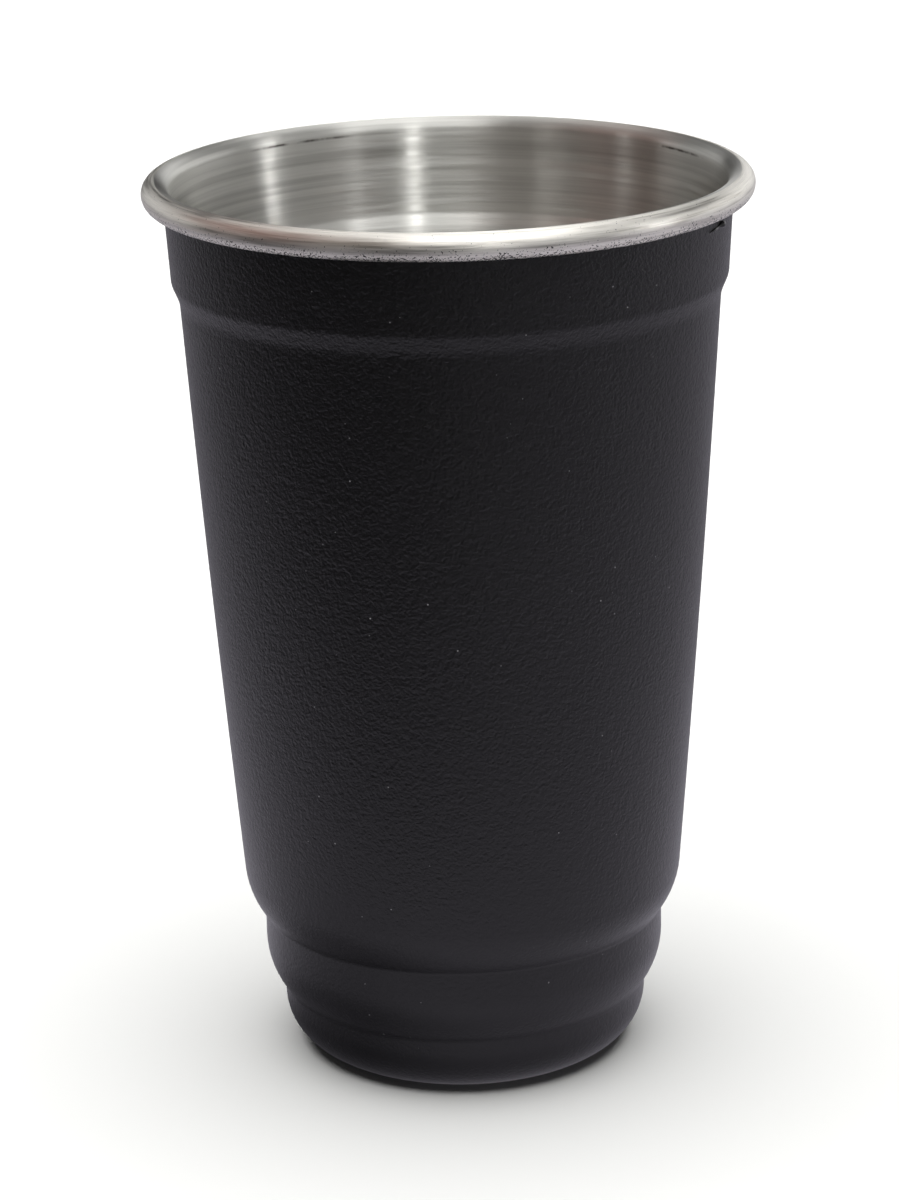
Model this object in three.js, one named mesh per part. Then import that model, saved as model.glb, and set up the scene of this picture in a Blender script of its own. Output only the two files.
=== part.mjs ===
// Aluminium tumbler: one sheet of aluminium drawn and spun to a tapered cup, with two stacking steps above a
// rounded foot, a collar below the mouth and an open rolled rim. A textured coat is baked on its outside.
// Millimetres, +Z up, origin at the middle of the standing ring.
import * as THREE from 'three';

// Driving dimensions of the cup, measured on the outside face of the metal
const HEIGHT = 145;
const RIM_DIAMETER = 95.8;
const SHEET = 0.9;

// Rolled rim: the sheet curls outwards and down, and its cut edge stops short of the coated collar
const CURL_RADIUS = 2.14;
const CURL_LIP_GAP = 0.3;

// Collar below the rim, stepped out from the wall, with a tight edge above a soft hollow
const COLLAR_HEIGHT = 19;
const COLLAR_TAPER = THREE.MathUtils.degToRad(3.4);
const COLLAR_STEP = 1.2;
const COLLAR_STEP_SLOPE = THREE.MathUtils.degToRad(22.5);
const COLLAR_SHOULDER_RADIUS = 2.6;
const COLLAR_CREASE_RADIUS = 6;

// Wall between the collar and the foot, swelling a little over most of its length
const WALL_BARREL = 0.28;
const SWELL_SPAN = 0.8;

// Foot: a lower and an upper band, each with a rounded shoulder that steps in to the band below it
const FOOT_DIAMETER = 59.3;
const FOOT_RADIUS = 8.3;
const FOOT_STRAIGHT = 2;
const BAND_STEP = 2.9;
const BAND_HEIGHT = 12.9;
const WALL_STEP = 2.8;
const STEP_SLOPE = THREE.MathUtils.degToRad(37);
const SHOULDER_RADIUS = 12.6;
const CREASE_RADIUS = 1.2;

// Base panel, raised inside the standing ring, with its fillets measured on the hollow side of the sheet
const RING_WIDTH = 1.6;
const BASE_RISE = 1.5;
const BASE_SLOPE = THREE.MathUtils.degToRad(45);
const BASE_FILLET = 0.6;

// Coat: its upper edge is tucked up behind the curl, and the standing ring is left bare
const COAT = 0.1;
const COAT_TUCK = 0.5;
const COAT_EDGE_LIFT = 0.15;

// Fineness of the facets
const TURN_FACETS = 40;
const ARC_STEP = THREE.MathUtils.degToRad(19);
const CURL_STEP = THREE.MathUtils.degToRad(30);
const BARREL_FACETS = 3;

// A station is a point (r, z) on the outside face of the sheet and the heading in which the sheet runs on,
// from the middle of the base outwards and up, so that the outside lies on the right.
const right = (heading) => new THREE.Vector2(Math.sin(heading), -Math.cos(heading));
const station = (point, heading) => ({ point: point.clone(), heading });
const offset = ({ point, heading }, distance) => point.clone().addScaledVector(right(heading), distance);

// Stations along an arc that starts at a station and turns by an angle, to the left where it is positive
function arc(start, turn, radius, step, facets = Math.ceil(Math.abs(turn) / step)) {
  const toCentre = -Math.sign(turn) * radius;
  const centre = offset(start, toCentre);
  return Array.from({ length: facets + 1 }, (_, i) => {
    const heading = start.heading + (turn * i) / facets;
    return station(centre.clone().addScaledVector(right(heading), -toCentre), heading);
  });
}

// Arcs that round the inner corners of a line, one list of stations for each. Where two of them need more
// than the leg between them, both are cut back in proportion.
function roundedCorners(corners) {
  const legs = corners.slice(1).map(({ point }, i) => point.clone().sub(corners[i].point));
  const turns = legs.slice(1).map((leg, i) => Math.atan2(legs[i].cross(leg), legs[i].dot(leg)));
  const halfTangents = turns.map((turn) => Math.tan(Math.abs(turn) / 2));
  const wanted = [0, ...halfTangents.map((half, i) => corners[i + 1].radius * half), 0];
  const shares = legs.map((leg, i) => Math.min(1, leg.length() / (wanted[i] + wanted[i + 1])));
  return turns.map((turn, i) => {
    const reach = wanted[i + 1] * Math.min(shares[i], shares[i + 1]);
    const startPoint = corners[i + 1].point.clone().addScaledVector(legs[i].clone().normalize(), -reach);
    const start = station(startPoint, legs[i].angle());
    return arc(start, turn, reach / halfTangents[i], ARC_STEP, corners[i + 1].facets);
  });
}

const corner = (r, z, radius, facets) => ({ point: new THREE.Vector2(r, z), radius, facets });

// Curl and collar: the collar runs straight up into the curl, which turns about its centre
const curlInside = CURL_RADIUS - SHEET;
const curlCentre = new THREE.Vector2(RIM_DIAMETER / 2 - CURL_RADIUS, HEIGHT - CURL_RADIUS);
const collarHeading = Math.PI / 2 - COLLAR_TAPER;
const collarTopPoint = curlCentre.clone().addScaledVector(right(collarHeading), -curlInside);
const collarTop = station(collarTopPoint, collarHeading);
const collarRadiusAt = (z) => collarTopPoint.x - (collarTopPoint.y - z) * Math.tan(COLLAR_TAPER);
const lipAngle = Math.asin((curlInside * Math.cos(COLLAR_TAPER) - COAT - CURL_LIP_GAP) / CURL_RADIUS);
const curlTurns = [collarHeading, Math.PI / 2, Math.PI / 2, lipAngle];
const curl = [collarTop];
for (const turn of curlTurns) {
  curl.push(...arc(curl.at(-1), -turn, curlInside, CURL_STEP).slice(1));
}

// Heights and radii of the steps, each crease below its shoulder
const stepRise = (depth, slope) => depth / Math.tan(slope);
const collarCreaseZ = HEIGHT - COLLAR_HEIGHT;
const collarShoulderZ = collarCreaseZ + stepRise(COLLAR_STEP, COLLAR_STEP_SLOPE);
const collarShoulderR = collarRadiusAt(collarShoulderZ);
const collarCrease = corner(collarShoulderR - COLLAR_STEP, collarCreaseZ, COLLAR_CREASE_RADIUS);
const collarShoulder = corner(collarShoulderR, collarShoulderZ, COLLAR_SHOULDER_RADIUS);

const footR = FOOT_DIAMETER / 2;
const bandR = footR + BAND_STEP;
const footCreaseZ = FOOT_RADIUS + FOOT_STRAIGHT;
const bandCreaseZ = footCreaseZ + BAND_HEIGHT;
const footCrease = corner(footR, footCreaseZ, CREASE_RADIUS);
const bandShoulderZ = footCreaseZ + stepRise(BAND_STEP, STEP_SLOPE);
const bandShoulder = corner(bandR, bandShoulderZ, SHOULDER_RADIUS);
const bandCrease = corner(bandR, bandCreaseZ, CREASE_RADIUS);
const wallShoulderZ = bandCreaseZ + stepRise(WALL_STEP, STEP_SLOPE);
const wallShoulder = corner(bandR + WALL_STEP, wallShoulderZ, SHOULDER_RADIUS);

// The wall's swell is one long arc about mid height, whose end tangents meet a little outside it
const wallRun = collarCrease.point.clone().sub(wallShoulder.point);
const swellOffset = WALL_BARREL / (1 - SWELL_SPAN / 2);
const swellRadius = (SWELL_SPAN * wallRun.lengthSq()) / (4 * swellOffset);
const swellPoint = wallShoulder.point.clone().addScaledVector(wallRun, 1 / 2)
  .addScaledVector(right(wallRun.angle()), swellOffset);
const swell = corner(swellPoint.x, swellPoint.y, swellRadius, BARREL_FACETS);

// Base panel and standing ring, the flat ring lying between its inner fillet and the foot's arc
const ringFilletRadius = BASE_FILLET + SHEET;
const footStart = station(new THREE.Vector2(footR - FOOT_RADIUS, 0), 0);
const ringEdgeR = footStart.point.x - RING_WIDTH - ringFilletRadius * Math.tan(BASE_SLOPE / 2);
const panelCentre = station(new THREE.Vector2(0, BASE_RISE), 0);
const panelEdge = corner(ringEdgeR - stepRise(BASE_RISE, BASE_SLOPE), BASE_RISE, BASE_FILLET);
const ringEdge = corner(ringEdgeR, 0, ringFilletRadius);
const [panelFillet, ringFillet] = roundedCorners([panelCentre, panelEdge, ringEdge, footStart]);

// The foot's arc, split where the coat's lower edge clears the surface that the cup stands on
const coatEdgeAngle = Math.acos((FOOT_RADIUS - COAT_EDGE_LIFT) / (FOOT_RADIUS + COAT));
const bareFoot = arc(footStart, coatEdgeAngle, FOOT_RADIUS, ARC_STEP);
const coatedFoot = arc(bareFoot.at(-1), Math.PI / 2 - coatEdgeAngle, FOOT_RADIUS, ARC_STEP);

// Collar wall at the coat's upper edge, tucked up behind the bottom of the curl
const coatTopZ = HEIGHT - 2 * CURL_RADIUS + COAT_TUCK;
const coatTop = station(new THREE.Vector2(collarRadiusAt(coatTopZ), coatTopZ), collarHeading);

// Stretches of the sheet, in the order in which it runs from the middle of the base to the lip of the curl
const coatedPanel = [panelCentre, ...panelFillet, ringFillet[0]];
const bareRing = [...ringFillet.slice(1), ...bareFoot.slice(0, -1)];
const steppedWall = [footCrease, bandShoulder, bandCrease, wallShoulder, swell, collarCrease, collarShoulder];
const coatedWall = [
  ...coatedFoot,
  ...roundedCorners([coatedFoot.at(-1), ...steppedWall, coatTop]).flat(),
  coatTop,
];
const sheet = [...coatedPanel, ...bareRing, ...coatedWall, ...curl];

// A layer of a stretch between two distances from the sheet's outside face, turned about Z
function turnedLayer(name, stations, near, far, closed, material) {
  const outside = stations.map((place) => offset(place, far));
  const inside = stations.map((place) => offset(place, near)).reverse();
  const profile = [...outside, ...inside];
  if (closed) profile.push(outside[0].clone());
  const geometry = new THREE.LatheGeometry(profile, TURN_FACETS).rotateX(Math.PI / 2);
  const mesh = new THREE.Mesh(geometry, material);
  mesh.name = name;
  return mesh;
}

const aluminium = new THREE.MeshStandardMaterial({ color: '#b9b9ba', roughness: 0.34, metalness: 1 });
const coatFinish = { color: '#1d1d20', roughness: 0.62, metalness: 0 };

const tumbler = new THREE.Group();
tumbler.add(
  turnedLayer('aluminium_shell', sheet, -SHEET, 0, false, aluminium),
  turnedLayer('wall_coat', coatedWall, 0, COAT, true, new THREE.MeshStandardMaterial(coatFinish)),
  turnedLayer('base_coat', coatedPanel, 0, COAT, false, new THREE.MeshStandardMaterial(coatFinish)),
);

export default tumbler;
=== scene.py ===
"""Aluminium tumbler, dressed: a spun shell with a rolled rim, under a near-black textured coat."""
import cmath
from math import acos, asin, ceil, cos, exp, pi, radians, sin, tan

import bmesh
import bpy
from mathutils import Matrix, Vector


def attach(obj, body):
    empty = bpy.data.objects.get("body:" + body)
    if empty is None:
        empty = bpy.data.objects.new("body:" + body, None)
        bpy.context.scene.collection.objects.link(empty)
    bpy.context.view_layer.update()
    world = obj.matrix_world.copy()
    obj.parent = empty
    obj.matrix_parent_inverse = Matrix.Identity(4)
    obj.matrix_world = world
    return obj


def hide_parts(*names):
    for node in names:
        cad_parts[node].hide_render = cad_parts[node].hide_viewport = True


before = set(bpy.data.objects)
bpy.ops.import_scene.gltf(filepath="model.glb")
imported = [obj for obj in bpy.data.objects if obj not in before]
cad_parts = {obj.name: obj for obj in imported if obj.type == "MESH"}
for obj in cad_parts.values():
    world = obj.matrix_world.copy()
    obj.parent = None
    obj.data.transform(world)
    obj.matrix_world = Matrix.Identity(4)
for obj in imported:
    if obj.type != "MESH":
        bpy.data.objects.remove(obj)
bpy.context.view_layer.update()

# Shell
# The cup is one disc of aluminium, drawn and spun to a tapered wall with a stepped foot and a collar, and its
# rim is rolled outwards. Inside and rim stay bare, as the roller leaves them, satin and finely lined.
MM = 0.001
HEIGHT = 145 * MM
RIM_DIAMETER = 95.8 * MM
SHEET = 0.9 * MM
COAT = 0.1 * MM

# Rim: the sheet curls outwards and down, and its cut edge stops short of the coated collar
CURL_RADIUS = 2.14 * MM
CURL_LIP_GAP = 0.3 * MM
COLLAR_HEIGHT = 19 * MM
COLLAR_TAPER = radians(3.4)
COLLAR_STEP = 1.2 * MM
COLLAR_STEP_SLOPE = radians(22.5)
COLLAR_SHOULDER_RADIUS = 2.6 * MM
COLLAR_CREASE_RADIUS = 6 * MM

# Wall, swelling a little over most of its length, and the two bands of the foot
WALL_BARREL = 0.28 * MM
SWELL_SPAN = 0.8
FOOT_DIAMETER = 59.3 * MM
FOOT_RADIUS = 8.3 * MM
FOOT_STRAIGHT = 2 * MM
BAND_STEP = 2.9 * MM
BAND_HEIGHT = 12.9 * MM
WALL_STEP = 2.8 * MM
STEP_SLOPE = radians(37)
SHOULDER_RADIUS = 12.6 * MM
CREASE_RADIUS = 1.2 * MM

# Base panel, raised inside the bare standing ring
RING_WIDTH = 1.6 * MM
BASE_RISE = 1.5 * MM
BASE_SLOPE = radians(45)
BASE_FILLET = 0.6 * MM
COAT_TUCK = 0.5 * MM
COAT_EDGE_LIFT = 0.15 * MM

TURN_STEPS = 192
ARC_STEP = radians(5)
LONGEST_FACET = 2.5 * MM
MERGE_DISTANCE = 0.001 * MM
CUT_EDGE = radians(40)


# A station is a point of the sheet's outside face, radius + height * 1j, and the heading in which the sheet
# runs on, from the middle of the base outwards and up. The outside lies on the right of the heading.
def right(heading):
    return cmath.rect(1, heading - pi / 2)


def offset(station, distance):
    point, heading = station
    return point + right(heading) * distance


def arc(start, turn, radius):
    """Stations along an arc that turns by an angle, to the left where it is positive."""
    to_centre = -radius if turn > 0 else radius
    centre = offset(start, to_centre)
    facets = max(ceil(abs(turn) / ARC_STEP), ceil(abs(turn) * radius / LONGEST_FACET))
    headings = [start[1] + turn * i / facets for i in range(facets + 1)]
    return [(centre - right(heading) * to_centre, heading) for heading in headings]


def rounded(start, corners, end):
    """Stations along the corners, each (point, radius) rounded. Two that meet on a short leg share it out."""
    points = [start[0], *(point for point, radius in corners), end[0]]
    legs = [after - before for before, after in zip(points, points[1:])]
    turns = [cmath.phase(after / before) for before, after in zip(legs, legs[1:])]
    wanted = [0, *(radius * tan(abs(turn) / 2) for (_, radius), turn in zip(corners, turns)), 0]
    shares = [min(1, abs(leg) / pair) for leg, pair in zip(legs, map(sum, zip(wanted, wanted[1:])))]
    arcs = []
    for i, turn in enumerate(turns):
        reach = wanted[i + 1] * min(shares[i], shares[i + 1])
        into = (points[i + 1] - legs[i] / abs(legs[i]) * reach, cmath.phase(legs[i]))
        arcs.append(arc(into, turn, reach / tan(abs(turn) / 2)))
    return arcs


# Curl, turning about its centre from the top of the collar to its lip
curl_inside = CURL_RADIUS - SHEET
curl_centre = complex(RIM_DIAMETER / 2 - CURL_RADIUS, HEIGHT - CURL_RADIUS)
collar_heading = pi / 2 - COLLAR_TAPER
collar_top = (curl_centre - right(collar_heading) * curl_inside, collar_heading)
lip_angle = asin((curl_inside * cos(COLLAR_TAPER) - COAT - CURL_LIP_GAP) / CURL_RADIUS)
curl = [collar_top]
for turn in (collar_heading, pi / 2, pi / 2, lip_angle):
    curl += arc(curl[-1], -turn, curl_inside)[1:]


def collar_at(height):
    """Point of the collar's outside face at a height."""
    drop = collar_top[0].imag - height
    return complex(collar_top[0].real - drop * tan(COLLAR_TAPER), height)


# Steps, each crease below its shoulder
step_rise = COLLAR_STEP / tan(COLLAR_STEP_SLOPE)
collar_shoulder = collar_at(HEIGHT - COLLAR_HEIGHT + step_rise)
collar_crease = collar_shoulder - complex(COLLAR_STEP, step_rise)
foot_crease = complex(FOOT_DIAMETER / 2, FOOT_RADIUS + FOOT_STRAIGHT)
band_shoulder = foot_crease + complex(BAND_STEP, BAND_STEP / tan(STEP_SLOPE))
band_crease = foot_crease + complex(BAND_STEP, BAND_HEIGHT)
wall_shoulder = band_crease + complex(WALL_STEP, WALL_STEP / tan(STEP_SLOPE))
wall_run = collar_crease - wall_shoulder
swell_offset = WALL_BARREL / (1 - SWELL_SPAN / 2)
swell_radius = SWELL_SPAN * abs(wall_run) ** 2 / (4 * swell_offset)
swell = wall_shoulder + wall_run / 2 + right(cmath.phase(wall_run)) * swell_offset

# Base panel, standing ring and the foot's arc, which is bare up to the coat's lower edge
ring_fillet_radius = BASE_FILLET + SHEET
foot_start = (complex(FOOT_DIAMETER / 2 - FOOT_RADIUS, 0), 0)
ring_edge = foot_start[0] - RING_WIDTH - ring_fillet_radius * tan(BASE_SLOPE / 2)
panel_centre = (complex(0, BASE_RISE), 0)
panel_edge = ring_edge + complex(-BASE_RISE / tan(BASE_SLOPE), BASE_RISE)
panel_corners = [(panel_edge, BASE_FILLET), (ring_edge, ring_fillet_radius)]
panel_fillet, ring_fillet = rounded(panel_centre, panel_corners, foot_start)
coat_edge_angle = acos((FOOT_RADIUS - COAT_EDGE_LIFT) / (FOOT_RADIUS + COAT))
bare_foot = arc(foot_start, coat_edge_angle, FOOT_RADIUS)
coated_foot = arc(bare_foot[-1], pi / 2 - coat_edge_angle, FOOT_RADIUS)
coat_top = (collar_at(HEIGHT - 2 * CURL_RADIUS + COAT_TUCK), collar_heading)

wall_corners = [
    (foot_crease, CREASE_RADIUS),
    (band_shoulder, SHOULDER_RADIUS),
    (band_crease, CREASE_RADIUS),
    (wall_shoulder, SHOULDER_RADIUS),
    (swell, swell_radius),
    (collar_crease, COLLAR_CREASE_RADIUS),
    (collar_shoulder, COLLAR_SHOULDER_RADIUS),
]
coated_panel = [panel_centre, *panel_fillet, ring_fillet[0]]
coated_wall = [*coated_foot, *sum(rounded(coated_foot[-1], wall_corners, coat_top), []), coat_top]
sheet = [*coated_panel, *ring_fillet[1:], *bare_foot[:-1], *coated_wall, *curl]


def turned(name, profile, closed=False):
    """A piece turned about Z from points of radius + height * 1j, smooth but for its cut edges."""
    bm = bmesh.new()
    ring = [bm.verts.new((point.real, 0, point.imag)) for point in profile]
    edges = [bm.edges.new(pair) for pair in zip(ring, ring[1:])]
    if closed:
        edges.append(bm.edges.new((ring[-1], ring[0])))
    bmesh.ops.spin(
        bm, geom=ring + edges, cent=(0, 0, 0), axis=(0, 0, 1), angle=2 * pi, steps=TURN_STEPS, use_merge=True
    )
    bmesh.ops.remove_doubles(bm, verts=bm.verts, dist=MERGE_DISTANCE)
    bmesh.ops.recalc_face_normals(bm, faces=bm.faces)
    return meshed(name, bm)


def meshed(name, bm):
    """A smooth-shaded object of a bmesh, with its edges sharp where two faces meet at a cut."""
    mesh = bpy.data.meshes.new(name)
    bm.to_mesh(mesh)
    bm.free()
    mesh.shade_smooth()
    mesh.set_sharp_from_angle(angle=CUT_EDGE)
    piece = bpy.data.objects.new(name, mesh)
    bpy.context.collection.objects.link(piece)
    return piece


outside = [offset(station, 0) for station in sheet]
inside = [offset(station, -SHEET) for station in reversed(sheet)]
shell = turned("spun_shell", outside + inside)


def linear(code):
    """Linear RGBA of an sRGB hex colour such as "#1d1d20"."""
    channels = [int(code[i:i + 2], 16) / 255 for i in (1, 3, 5)]
    return (*(c / 12.92 if c <= 0.04045 else ((c + 0.055) / 1.055) ** 2.4 for c in channels), 1)


def add(tree, kind, output, inputs=None, **settings):
    """Adds a node and gives one of its outputs. Inputs go by name or number, as values or other sockets."""
    node = tree.nodes.new(kind)
    for name, value in settings.items():
        setattr(node, name, value)
    for key, value in (inputs or {}).items():
        if isinstance(value, bpy.types.NodeSocket):
            tree.links.new(value, node.inputs[key])
        else:
            node.inputs[key].default_value = value
    return node.outputs[output]


def spun_lines(tree, spacing, length):
    """Noise in lines round the cup, changing slowly with the bearing and quickly with height and radius."""
    place = add(tree, "ShaderNodeTexCoord", "Object")
    flat = add(tree, "ShaderNodeVectorMath", "Vector", {0: place, 1: (1, 1, 0)}, operation="MULTIPLY")
    radius = add(tree, "ShaderNodeVectorMath", "Value", {0: flat}, operation="LENGTH")
    outward = add(tree, "ShaderNodeMath", 0, {0: radius, 1: spacing}, operation="DIVIDE")
    bearing = add(tree, "ShaderNodeVectorMath", "Vector", {0: flat}, operation="NORMALIZE")
    height = add(tree, "ShaderNodeSeparateXYZ", "Z", {0: place})
    level = add(tree, "ShaderNodeMath", 0, {0: height, 1: spacing}, operation="DIVIDE")
    upright = add(tree, "ShaderNodeCombineXYZ", 0, {"Z": level})
    sweep = {0: bearing, 1: (RIM_DIAMETER / 2 / length,) * 3, 2: upright}
    line_place = add(tree, "ShaderNodeVectorMath", "Vector", sweep, operation="MULTIPLY_ADD")
    lines = {"Vector": line_place, "W": outward, "Scale": 1, "Detail": 2, "Roughness": 0.6}
    return add(tree, "ShaderNodeTexNoise", "Fac", lines, noise_dimensions="4D")


# Spun aluminium, bare and satin, on the inside. The roller leaves fine lines round the cup, so that lights
# draw out into upright streaks. A dark broken line at the root of the curl is painted shade of that crease.
# Real lines are about 0.1 mm apart, and are drawn coarser so that they show.
SPUN_LIGHT = linear("#e2e1dc")
SPUN_DARK = linear("#c4c3be")
# Painted shade: the tone of the dark line in the crease at the root of the curl
CREASE_SHADE_TONE = linear("#625d59")
LINE_SPACING = 0.7 * MM
LINE_LENGTH = 24 * MM
DASH_LENGTH = 6 * MM
TOOL_MARK_SPACING = 1.1 * MM
TOOL_MARK_LENGTH = 90 * MM
SHADE_LINE = 0.35 * MM
SHADE_DASH = 5 * MM
SHADE_BEARINGS = (-146, 124)
SHADE_REACH = radians(14)

inside_finish = bpy.data.materials.new("spun_satin_aluminium")
inside_finish.use_nodes = True
tree = inside_finish.node_tree
metal = tree.nodes["Principled BSDF"]
fine_lines = spun_lines(tree, LINE_SPACING, LINE_LENGTH)
dashes = spun_lines(tree, LINE_SPACING, DASH_LENGTH)
tool_marks = spun_lines(tree, TOOL_MARK_SPACING, TOOL_MARK_LENGTH)
mark_range = {"Value": tool_marks, "From Min": 0.3, "From Max": 0.6}
marks = add(tree, "ShaderNodeMapRange", "Result", mark_range)
spun_tones = {"Factor": marks, "A": SPUN_DARK, "B": SPUN_LIGHT}
tone = add(tree, "ShaderNodeMix", "Result", spun_tones, data_type="RGBA")

# Painted shade in the root of the curl: a darker line, in two broken stretches on the far side
place = add(tree, "ShaderNodeTexCoord", "Object")
height = add(tree, "ShaderNodeSeparateXYZ", "Z", {0: place})
from_root = add(tree, "ShaderNodeMath", 0, {0: height, 1: collar_top[0].imag}, operation="SUBTRACT")
off_root = add(tree, "ShaderNodeMath", 0, {0: from_root}, operation="ABSOLUTE")
root_range = {"Value": off_root, "From Max": SHADE_LINE, "To Min": 1, "To Max": 0}
root = add(tree, "ShaderNodeMapRange", "Result", root_range, interpolation_type="SMOOTHSTEP")
gaps = add(tree, "ShaderNodeTexNoise", "Fac", {"Vector": place, "Scale": 1 / SHADE_DASH, "Detail": 3})
broken = add(tree, "ShaderNodeMapRange", "Result", {"Value": gaps, "From Min": 0.42, "From Max": 0.58})
shaded_line = add(tree, "ShaderNodeMath", 0, {0: root, 1: broken}, operation="MULTIPLY")
flat = add(tree, "ShaderNodeVectorMath", "Vector", {0: place, 1: (1, 1, 0)}, operation="MULTIPLY")
bearing = add(tree, "ShaderNodeVectorMath", "Vector", {0: flat}, operation="NORMALIZE")
# The painted shade is kept to two stretches of the root, fading out at their ends
for middle in map(radians, SHADE_BEARINGS):
    towards = {0: bearing, 1: (sin(middle), -cos(middle), 0)}
    nearness = add(tree, "ShaderNodeVectorMath", "Value", towards, operation="DOT_PRODUCT")
    stretch_range = {"Value": nearness, "From Min": cos(SHADE_REACH), "From Max": cos(SHADE_REACH / 2)}
    stretch = add(tree, "ShaderNodeMapRange", "Result", stretch_range)
    root_shade = add(tree, "ShaderNodeMath", 0, {0: shaded_line, 1: stretch}, operation="MULTIPLY")
    tone = add(tree, "ShaderNodeMix", "Result", {"Factor": root_shade, "A": tone, "B": CREASE_SHADE_TONE}, data_type="RGBA")
tree.links.new(tone, metal.inputs["Base Color"])

metal.inputs["Metallic"].default_value = 1
metal.inputs["Anisotropic"].default_value = 1
metal.inputs["Anisotropic Rotation"].default_value = 0.25
tangent = add(tree, "ShaderNodeTangent", "Tangent", direction_type="RADIAL", axis="Z")
tree.links.new(tangent, metal.inputs["Tangent"])
satin_range = {"Value": fine_lines, "From Min": 0.35, "From Max": 0.65, "To Min": 0.28, "To Max": 0.43}
satin = add(tree, "ShaderNodeMapRange", "Result", satin_range)
crest_range = {"Value": height, "From Min": collar_top[0].imag, "From Max": HEIGHT}
crest = add(tree, "ShaderNodeMapRange", "Result", crest_range)
satin = add(tree, "ShaderNodeMix", "Result", {"Factor": crest, "A": satin, "B": 0.45})
tree.links.new(satin, metal.inputs["Roughness"])
line_relief = {"Height": dashes, "Strength": 0.6, "Distance": 0.06 * MM}
line_bump = add(tree, "ShaderNodeBump", "Normal", line_relief)
tree.links.new(line_bump, metal.inputs["Normal"])
shell.data.materials.append(inside_finish)

# Rolled aluminium on the outer half of the curl, the same metal rubbed over by the curling tool, so softer
# and finely brushed. Mist from the spray gun has settled on its underside in black specks, which thin out
# upwards.
RIM_LIGHT = linear("#f4f1ea")
RIM_DARK = linear("#b9b4ab")
COAT_BLACK = linear("#060607")
RIM_LINE_SPACING = 0.4 * MM
RIM_LINE_LENGTH = 12 * MM
SPECK = 0.3 * MM
PATCH = 6 * MM

rim_finish = bpy.data.materials.new("rolled_satin_aluminium")
rim_finish.use_nodes = True
tree = rim_finish.node_tree
metal = tree.nodes["Principled BSDF"]
fine_lines = spun_lines(tree, RIM_LINE_SPACING, RIM_LINE_LENGTH)
brush_range = {"Value": fine_lines, "From Min": 0.25, "From Max": 0.55}
brushed = add(tree, "ShaderNodeMapRange", "Result", brush_range)
rim_tones = {"Factor": brushed, "A": RIM_DARK, "B": RIM_LIGHT}
tone = add(tree, "ShaderNodeMix", "Result", rim_tones, data_type="RGBA")
place = add(tree, "ShaderNodeTexCoord", "Object")
height = add(tree, "ShaderNodeSeparateXYZ", "Z", {0: place})
curl_range = {
    "Value": height,
    "From Min": HEIGHT - 2 * CURL_RADIUS,
    "From Max": HEIGHT - 0.5 * CURL_RADIUS,
    "To Min": 1,
    "To Max": 0,
}
lowness = add(tree, "ShaderNodeMapRange", "Result", curl_range)
crowding = add(tree, "ShaderNodeMath", 0, {0: lowness, 1: 1.8}, operation="POWER")
speck_level = add(tree, "ShaderNodeMapRange", "Result", {"Value": crowding, "To Min": 0.86, "To Max": 0.56})
patches = add(tree, "ShaderNodeTexNoise", "Fac", {"Vector": place, "Scale": 1 / PATCH})
speck_level = add(tree, "ShaderNodeMath", 0, {0: patches, 1: -0.2, 2: speck_level}, operation="MULTIPLY_ADD")
mist = add(tree, "ShaderNodeTexNoise", "Fac", {"Vector": place, "Scale": 1 / SPECK, "Detail": 1})
above = add(tree, "ShaderNodeMath", 0, {0: mist, 1: speck_level}, operation="SUBTRACT")
specks = add(tree, "ShaderNodeMapRange", "Result", {"Value": above, "From Min": -0.02, "From Max": 0.02})
tone = add(tree, "ShaderNodeMix", "Result", {"Factor": specks, "A": tone, "B": COAT_BLACK}, data_type="RGBA")
tree.links.new(tone, metal.inputs["Base Color"])
bare = add(tree, "ShaderNodeMath", 0, {0: 1, 1: specks}, operation="SUBTRACT")
tree.links.new(bare, metal.inputs["Metallic"])

metal.inputs["Anisotropic"].default_value = 0.7
metal.inputs["Anisotropic Rotation"].default_value = 0.25
tangent = add(tree, "ShaderNodeTangent", "Tangent", direction_type="RADIAL", axis="Z")
tree.links.new(tangent, metal.inputs["Tangent"])
satin_range = {"Value": fine_lines, "From Min": 0.35, "From Max": 0.65, "To Min": 0.34, "To Max": 0.54}
satin = add(tree, "ShaderNodeMapRange", "Result", satin_range)
satin = add(tree, "ShaderNodeMix", "Result", {"Factor": specks, "A": satin, "B": 0.6})
tree.links.new(satin, metal.inputs["Roughness"])
line_relief = {"Height": fine_lines, "Strength": 0.3, "Distance": 0.08 * MM}
line_bump = add(tree, "ShaderNodeBump", "Normal", line_relief)
tree.links.new(line_bump, metal.inputs["Normal"])
shell.data.materials.append(rim_finish)

RIM_SLOT = 1
for face in shell.data.polygons:
    if Vector(face.center[:2]).length > curl_centre.real:
        face.material_index = RIM_SLOT

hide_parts("aluminium_shell")
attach(shell, "root")

# Wall coat
# A textured powder coat, sprayed on the outside and baked. It runs from behind the curl down over the collar,
# the wall and the steps, and round the foot to the edge of the standing ring.
coat_outside = [offset(station, COAT) for station in coated_wall]
coat_inside = [offset(station, 0) for station in reversed(coated_wall)]
wall_coat = turned("baked_wall_coat", coat_outside + coat_inside, closed=True)

# Textured powder coat, near black. As it bakes, its skin wrinkles to a fine leathery grain that breaks up the
# sheen. Here and there a tiny pale dot is painted in: a painted glint, standing in for light caught by a nib.
COAT_TONE = linear("#0b080d")
# Painted glint: the pale tone of the dots that stand in for light caught by nibs in the coat
GLINT_TONE = linear("#b4b2b8")
WRINKLE = 0.9 * MM
GRIT = 0.45 * MM
GLINT_SPACING = 2.2 * MM
GLINT_RADIUS = 0.16 * MM
CLOUD = 18 * MM

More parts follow.
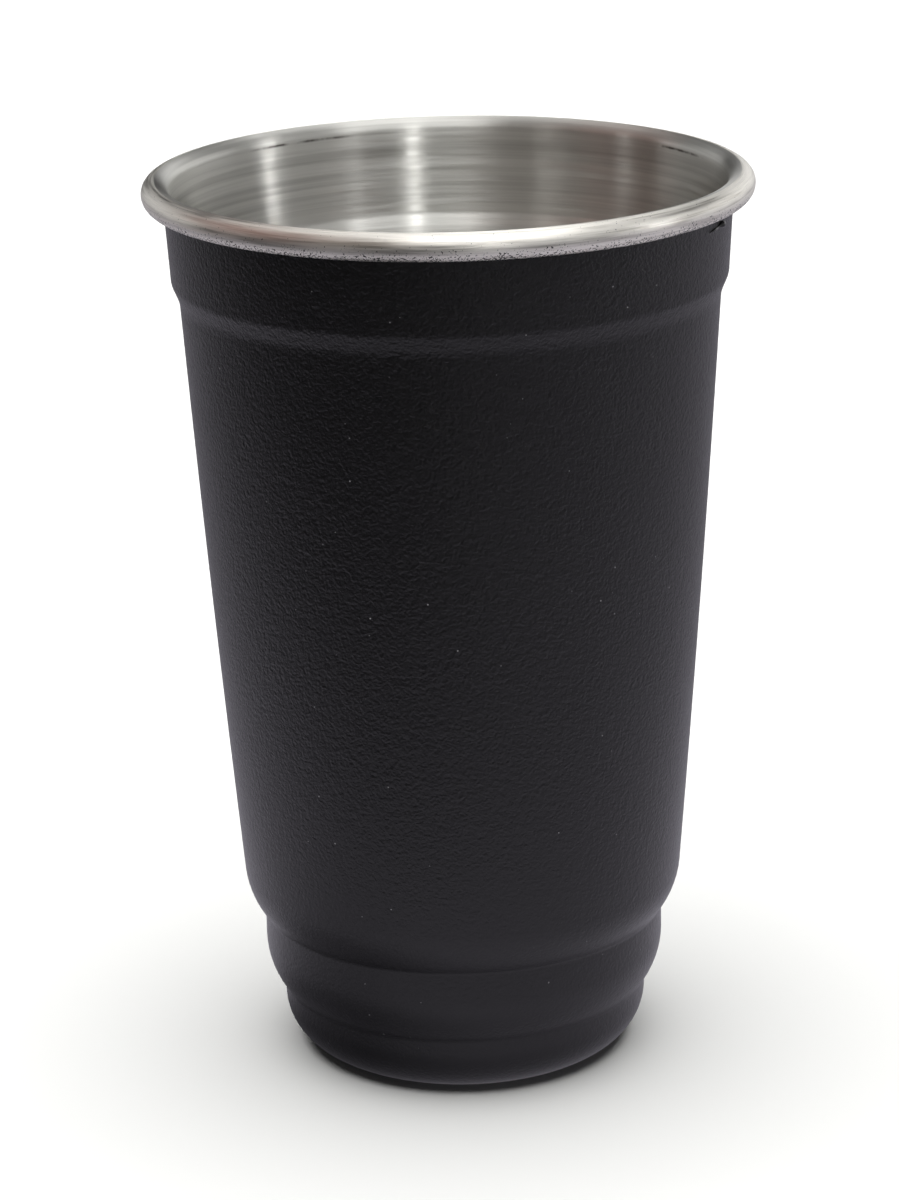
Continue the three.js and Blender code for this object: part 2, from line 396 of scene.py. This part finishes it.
coat_finish = bpy.data.materials.new("baked_textured_coat")
coat_finish.use_nodes = True
tree = coat_finish.node_tree
skin = tree.nodes["Principled BSDF"]
place = add(tree, "ShaderNodeTexCoord", "Object")
clouds = add(tree, "ShaderNodeTexNoise", "Fac", {"Vector": place, "Scale": 1 / CLOUD, "Detail": 2})
coat_tones = {"Factor": clouds, "A": COAT_BLACK, "B": COAT_TONE}
tone = add(tree, "ShaderNodeMix", "Result", coat_tones, data_type="RGBA")
# Painted glints: a few tiny pale dots of random size in the coat's colour, standing in for light caught by
# nibs
glint_cells = add(tree, "ShaderNodeTexVoronoi", "Distance", {"Vector": place, "Scale": 1 / GLINT_SPACING})
glint_tints = add(tree, "ShaderNodeTexVoronoi", "Color", {"Vector": place, "Scale": 1 / GLINT_SPACING})
glint_chance = add(tree, "ShaderNodeSeparateXYZ", "X", {0: glint_tints})
glint_size = {"Value": glint_chance, "From Min": 0.3, "To Max": GLINT_RADIUS / GLINT_SPACING}
glint_reach = add(tree, "ShaderNodeMapRange", "Result", glint_size)
glint_range = {"Value": glint_cells, "From Max": glint_reach, "To Min": 1, "To Max": 0}
painted_glints = add(tree, "ShaderNodeMapRange", "Result", glint_range)
tone = add(tree, "ShaderNodeMix", "Result", {"Factor": painted_glints, "A": tone, "B": GLINT_TONE}, data_type="RGBA")
tree.links.new(tone, skin.inputs["Base Color"])

wrinkle_inputs = {"Vector": place, "Scale": 1 / WRINKLE, "Detail": 1, "Distortion": 0.5}
wrinkles = add(tree, "ShaderNodeTexNoise", "Fac", wrinkle_inputs)
grit_inputs = {"Vector": place, "Scale": 1 / GRIT, "Detail": 3, "Roughness": 0.6}
grit = add(tree, "ShaderNodeTexNoise", "Fac", grit_inputs)
grain = add(tree, "ShaderNodeMix", "Result", {"Factor": 0.55, "A": wrinkles, "B": grit})
sheen = add(tree, "ShaderNodeMapRange", "Result", {"Value": grain, "To Min": 0.26, "To Max": 0.42})
tree.links.new(sheen, skin.inputs["Roughness"])
skin.inputs["Specular IOR Level"].default_value = 0.45
height = add(tree, "ShaderNodeSeparateXYZ", "Z", {0: place})
foot_range = {"Value": height, "From Min": band_crease.imag, "From Max": 3 * band_crease.imag, "To Min": 0.35}
fullness = add(tree, "ShaderNodeMapRange", "Result", foot_range)
relief = add(tree, "ShaderNodeMath", 0, {0: grain, 1: fullness}, operation="MULTIPLY")
grain_bump = add(tree, "ShaderNodeBump", "Normal", {"Height": relief, "Strength": 1, "Distance": 0.31 * MM})
tree.links.new(grain_bump, skin.inputs["Normal"])

wall_coat.data.materials.append(coat_finish)
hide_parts("wall_coat")
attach(wall_coat, "root")

# Base coat
# The same coat in the hollow of the raised base panel. It ends at the fillet inside the standing ring, which
# stays bare because the cup stands and wears on it.
panel_outside = [offset(station, COAT) for station in coated_panel]
panel_inside = [offset(station, 0) for station in reversed(coated_panel)]
base_coat = turned("baked_base_coat", panel_outside + panel_inside)
base_coat.data.materials.append(coat_finish)
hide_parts("base_coat")
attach(base_coat, "root")

# Coat run
# One run of wet coat that gathered under the curl, on the right as the photograph shows the cup, and baked
# there as a glossy drop with a smaller one beside it.
RUN_START = radians(62.5)
RUN_END = radians(72)
RUN_HEIGHT = 138.5 * MM
RUN_RISE = 0.5 * MM
RUN_SKIN = 0.12 * MM
RUN_DROPS = ((0.25, 0.18 * MM), (0.72, 0.5 * MM))
DROP_SPREAD = 0.16
RUN_TIP = 0.01
RUN_BEDDING = 3
RUN_STEPS = 40
RUN_SIDES = 16

bm = bmesh.new()
loops = []
for i in range(RUN_STEPS + 1):
    along = i / RUN_STEPS
    bearing = RUN_START + (RUN_END - RUN_START) * along
    swelling = sum(size * exp(-((along - middle) / DROP_SPREAD) ** 2) for middle, size in RUN_DROPS)
    thickness = (RUN_SKIN + swelling) * sin(pi * (along * (1 - 2 * RUN_TIP) + RUN_TIP)) ** 0.5
    centre = collar_at(RUN_HEIGHT + RUN_RISE * along) + COAT + thickness / RUN_BEDDING
    ring = [centre + cmath.rect(thickness, 2 * pi * side / RUN_SIDES) for side in range(RUN_SIDES)]
    loops.append([bm.verts.new((p.real * sin(bearing), -p.real * cos(bearing), p.imag)) for p in ring])
for before, after in zip(loops, loops[1:]):
    for side in range(RUN_SIDES):
        bm.faces.new((before[side - 1], before[side], after[side], after[side - 1]))
bm.faces.new(loops[0])
bm.faces.new(loops[-1])
bmesh.ops.recalc_face_normals(bm, faces=bm.faces)
run = meshed("coat_run", bm)

# The same coat where it ran thick: it levelled to a gloss before it set, with no grain.
run_finish = bpy.data.materials.new("glossy_coat_run")
run_finish.use_nodes = True
tree = run_finish.node_tree
gloss = tree.nodes["Principled BSDF"]
place = add(tree, "ShaderNodeTexCoord", "Object")
levelling = add(tree, "ShaderNodeTexNoise", "Fac", {"Vector": place, "Scale": 1 / WRINKLE, "Detail": 2})
run_tones = {"Factor": levelling, "A": COAT_BLACK, "B": COAT_TONE}
tone = add(tree, "ShaderNodeMix", "Result", run_tones, data_type="RGBA")
tree.links.new(tone, gloss.inputs["Base Color"])
run_gloss = add(tree, "ShaderNodeMapRange", "Result", {"Value": levelling, "To Min": 0.08, "To Max": 0.2})
tree.links.new(run_gloss, gloss.inputs["Roughness"])
run.data.materials.append(run_finish)
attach(run, "root")

# Floor
# A plain white floor that runs out to a white room. In the cup's reflections a glowing sheet replaces it, a
# painted reflection of a dim table, fading out not far in front of the cup, with painted shadow at the foot
# and to the front left of it, because the photograph was taken in a dim room.
ROOM_RADIUS = 4000 * MM
ROOM_SEGMENTS = 48
ROOM_RINGS = 24
FLOOR_TONE = linear("#f2f2f0")
ROOM_TONE = linear("#ffffff")
TABLE_TONE = linear("#d5d1dd")
TABLE_RADIUS = 1000 * MM
TABLE_CENTRE = (448 * MM, 715 * MM, 0)
TABLE_DROP = 0.2 * MM
TABLE_NEAR = 90 * MM
TABLE_FAR = 260 * MM
TABLE_FADE = 0.65
CONTACT_SHADE = ((-2 * MM, -2 * MM, 0), 28 * MM, 52 * MM, 0.55)
LEFT_SHADE = ((-36 * MM, -16 * MM, 0), 12 * MM, 50 * MM, 0.32)

bm = bmesh.new()
bmesh.ops.create_circle(bm, radius=ROOM_RADIUS, segments=TURN_STEPS, cap_ends=True)
floor = meshed("floor", bm)
floor_finish = bpy.data.materials.new("white_paper")
floor_finish.use_nodes = True
paper = floor_finish.node_tree.nodes["Principled BSDF"]
paper.inputs["Base Color"].default_value = FLOOR_TONE
paper.inputs["Roughness"].default_value = 0.9
paper.inputs["Specular IOR Level"].default_value = 0
floor.data.materials.append(floor_finish)
floor.visible_glossy = False
floor.visible_shadow = False


def glowing(name, tone):
    """A material that gives off an even light of one tone."""
    finish = bpy.data.materials.new(name)
    finish.use_nodes = True
    tree = finish.node_tree
    tree.nodes.remove(tree.nodes["Principled BSDF"])
    glow = add(tree, "ShaderNodeEmission", "Emission", {"Color": tone, "Strength": 1})
    tree.links.new(glow, tree.nodes["Material Output"].inputs["Surface"])
    return finish


# The glowing sheet just under the floor: a painted reflection of the table, its glow dimming away from the
# cup
bm = bmesh.new()
table_place = Matrix.Translation(TABLE_CENTRE)
bmesh.ops.create_circle(bm, radius=TABLE_RADIUS, segments=TURN_STEPS, cap_ends=True, matrix=table_place)
table = meshed("table", bm)
table.location.z = -TABLE_DROP
table_finish = glowing("painted_table_reflection", TABLE_TONE)
tree = table_finish.node_tree
place = add(tree, "ShaderNodeTexCoord", "Object")
distance = add(tree, "ShaderNodeVectorMath", "Value", {0: place}, operation="LENGTH")
fade_range = {
    "Value": distance,
    "From Min": TABLE_NEAR,
    "From Max": TABLE_FAR,
    "To Min": 1,
    "To Max": TABLE_FADE,
}
strength = add(tree, "ShaderNodeMapRange", "Result", fade_range)
# Painted shadows in the glow: darker round the foot and to the front left of it
for middle, core, edge, depth in (CONTACT_SHADE, LEFT_SHADE):
    from_middle = add(tree, "ShaderNodeVectorMath", "Value", {0: place, 1: middle}, operation="DISTANCE")
    shade_range = {"Value": from_middle, "From Min": core, "From Max": edge, "To Min": depth}
    shade = add(tree, "ShaderNodeMapRange", "Result", shade_range, interpolation_type="SMOOTHSTEP")
    strength = add(tree, "ShaderNodeMath", 0, {0: strength, 1: shade}, operation="MULTIPLY")
tree.links.new(strength, tree.nodes["Emission"].inputs["Strength"])
table.data.materials.append(table_finish)
table.visible_camera = False
table.visible_diffuse = False

bm = bmesh.new()
bmesh.ops.create_uvsphere(bm, u_segments=ROOM_SEGMENTS, v_segments=ROOM_RINGS, radius=ROOM_RADIUS)
room = meshed("room", bm)
room.data.materials.append(glowing("white_room", ROOM_TONE))
room.visible_glossy = False
room.visible_diffuse = False
room.visible_shadow = False

# Light
# Narrow lamps in front and at the sides draw the streaks in the spun metal, and wide dim panels give it its
# grey and light the edges of the coat. They only mirror in the cup. Soft overhead light whitens the floor.
DIM_GREY = (0.05, 0.05, 0.05, 1)
OVERHEAD_STRENGTH = 4.2
OVERHEAD_SPREAD = radians(70)
LAMP_DISTANCE = 1200 * MM
LAMP_TARGET = Vector((0, 0, HEIGHT))
LAMP_POWER = 4

world = bpy.data.worlds.new("dim_room")
world.use_nodes = True
world.node_tree.nodes["Background"].inputs["Color"].default_value = DIM_GREY
bpy.context.scene.world = world


def softbox(name, bearing_right, elevation, width, length, radiance, tone="#ffffff"):
    """A soft lamp aimed at the mouth, its bearing in degrees to the right of the camera's side."""
    bearing, rise = radians(bearing_right), radians(elevation)
    away = Vector((sin(bearing) * cos(rise), -cos(bearing) * cos(rise), sin(rise)))
    data = bpy.data.lights.new(name, "AREA")
    data.shape = "RECTANGLE"
    data.size = width
    data.size_y = length
    data.energy = LAMP_POWER * width * length * radiance
    data.color = linear(tone)[:3]
    lamp = bpy.data.objects.new(name, data)
    lamp.location = LAMP_TARGET + away * LAMP_DISTANCE
    lamp.rotation_euler = away.to_track_quat("Z", "Y").to_euler()
    lamp.visible_camera = False
    lamp.visible_diffuse = False
    bpy.context.collection.objects.link(lamp)


softbox("lamp_front_right", 15, 16, 0.08, 0.5, 7)
softbox("lamp_half_right", 41, 16, 0.07, 0.4, 1.2)
softbox("lamp_right", 84, 16, 0.022, 0.5, 24)
softbox("lamp_front_left", -43, 16, 0.1, 0.4, 0.5)
softbox("lamp_left", -83, 16, 0.1, 0.4, 0.7)
softbox("lamp_back", 178, 42, 0.4, 0.3, 2)
softbox("ceiling", 180, 72, 1.4, 1.2, 0.8)
softbox("window", 22, 66, 1, 0.6, 3)
softbox("room_left", -30, 40, 0.9, 1.1, 0.26, "#e2d3cc")
softbox("room_far_left", -92, 40, 1.2, 1, 0.34, "#c99a90")
softbox("room_right", 72, 26, 1.3, 1, 0.45)
softbox("panel_back_right", 138, 12, 1.7, 0.6, 0.8)
softbox("panel_back_left", -130, 10, 1.2, 0.6, 0.5)

overhead_data = bpy.data.lights.new("overhead", "SUN")
overhead_data.energy = OVERHEAD_STRENGTH
overhead_data.angle = OVERHEAD_SPREAD
overhead = bpy.data.objects.new("overhead", overhead_data)
overhead.visible_camera = False
overhead.visible_glossy = False
bpy.context.collection.objects.link(overhead)

# Camera, at the photograph's viewing angle. Its place and turns come from fitting the cup's outline in a
# frame of 900 by 1200 pixels.
CAMERA_DISTANCE = 596.67 * MM
CAMERA_HEIGHT = 264.67 * MM
PITCH = 0.3083
YAW = -0.0019
ROLL = 0.0221
FOCAL_PIXELS = 3879.3
FRAME_LONG_SIDE = 1200
SENSOR = 36

camera_data = bpy.data.cameras.new("camera")
camera_data.sensor_width = SENSOR
camera_data.lens = FOCAL_PIXELS * SENSOR / FRAME_LONG_SIDE
forward = Vector((sin(YAW) * cos(PITCH), cos(YAW) * cos(PITCH), -sin(PITCH)))
level_right = Vector((cos(YAW), -sin(YAW), 0))
level_down = forward.cross(level_right)
rolled_right = cos(ROLL) * level_right + sin(ROLL) * level_down
rolled_up = sin(ROLL) * level_right - cos(ROLL) * level_down
axes = Matrix((rolled_right, rolled_up, -forward)).transposed()
camera = bpy.data.objects.new("camera", camera_data)
camera.matrix_world = Matrix.Translation((0, -CAMERA_DISTANCE, CAMERA_HEIGHT)) @ axes.to_4x4()
bpy.context.collection.objects.link(camera)
bpy.context.scene.camera = camera
bpy.context.scene.view_settings.view_transform = "Standard"
